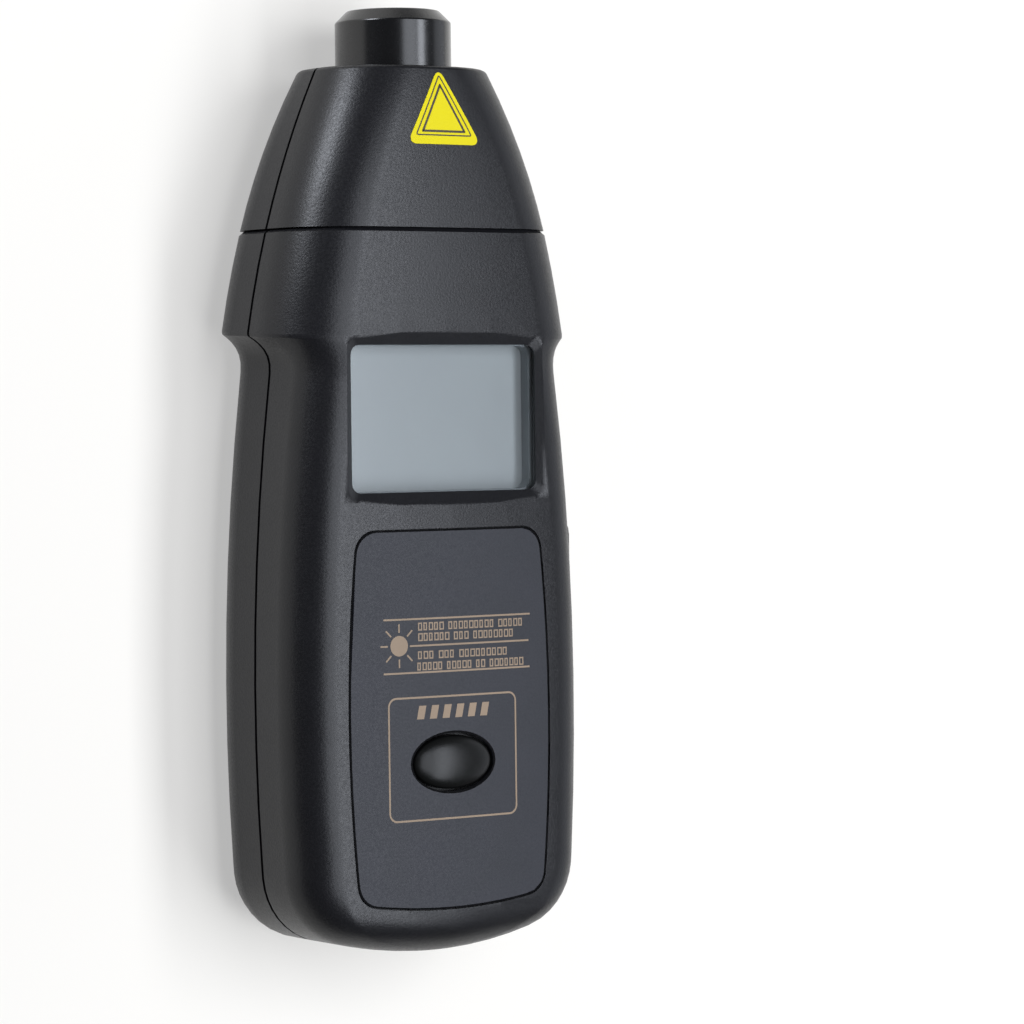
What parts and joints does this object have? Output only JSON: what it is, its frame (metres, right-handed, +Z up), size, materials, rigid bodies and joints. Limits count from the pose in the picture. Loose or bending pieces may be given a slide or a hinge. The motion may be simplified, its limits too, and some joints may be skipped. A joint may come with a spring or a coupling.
{
  "type": "handheld laser tachometer",
  "caption": "Handheld laser tachometer with a tapered nose and lens tube, a sunk display, an inset panel with an oval button, a side button and a sliding battery cover.",
  "frame": {"origin": "middle of the bounding box in plan, at the back that the case lies on", "axes": "+X to the right of the display, +Y along the case towards the lens tube, +Z up out of the display side"},
  "size_m": [0.0717, 0.19, 0.0386],
  "materials": {
    "case": "charcoal black ABS with a fine spark-eroded texture",
    "tube": "smooth black",
    "lens": "clear, coated",
    "inner_black": "black moulding",
    "laser_brass": "turned",
    "sensor_resin": "dark filter resin",
    "board": "green solder mask",
    "ribbon": "flat lead",
    "window": "clear acrylic",
    "lcd": "grey, no segments on",
    "contact_rubber": "striped contact strip",
    "panel": "blue-grey overlay with gold print",
    "button": "smooth black dome",
    "switch_body": "black switch body",
    "plunger": "tan plunger",
    "chip": "moulded package",
    "bright_steel": "zinc plated",
    "capacitor_sleeve": "blue sleeve",
    "battery_jacket": "plain printed jacket",
    "snap": "moulded vinyl",
    "lead": "vinyl covered wire"
  },
  "bodies": {
    "case": {"body_front": "case", "body_rear": "case", "nose_front": "case", "nose_rear": "case", "lens_tube": "tube", "front_lens": "lens", "lens_ring": "inner_black", "optics_carrier": "inner_black", "laser_module": "laser_brass", "light_sensor": "sensor_resin", "sensor_board": "board", "sensor_ribbon": "ribbon", "display_window": "window", "lcd_frame": "inner_black", "lcd_panel": "lcd", "lcd_connectors": "contact_rubber", "front_panel": "panel", "memory_switch": "switch_body", "measure_switch": "switch_body", "main_board": "board", "microcontroller": "chip", "clock_crystal": "bright_steel", "filter_capacitor": "capacitor_sleeve", "battery": "battery_jacket", "battery_snap": "snap", "battery_leads": "lead", "case_screws": "bright_steel", "board_screws": "bright_steel"},
    "memory_button": {"memory_button": "button", "memory_plunger": "plunger"},
    "measure_button": {"measure_button": "button", "measure_plunger": "plunger"},
    "battery_cover": {"battery_cover": "case"}
  },
  "joints": [
    {"name": "memory_press", "type": "slide", "parent": "case", "child": "memory_button", "axis": [0, 0, -1], "range_m": [0, 0.0008], "stiffness_N_per_m": 1500},
    {"name": "measure_press", "type": "slide", "parent": "case", "child": "measure_button", "axis": [-1, 0, 0], "range_m": [0, 0.0008], "stiffness_N_per_m": 1500},
    {"name": "cover_slide", "type": "slide", "parent": "case", "child": "battery_cover", "axis": [0, -1, 0], "range_m": [0, 0.064]}
  ]
}
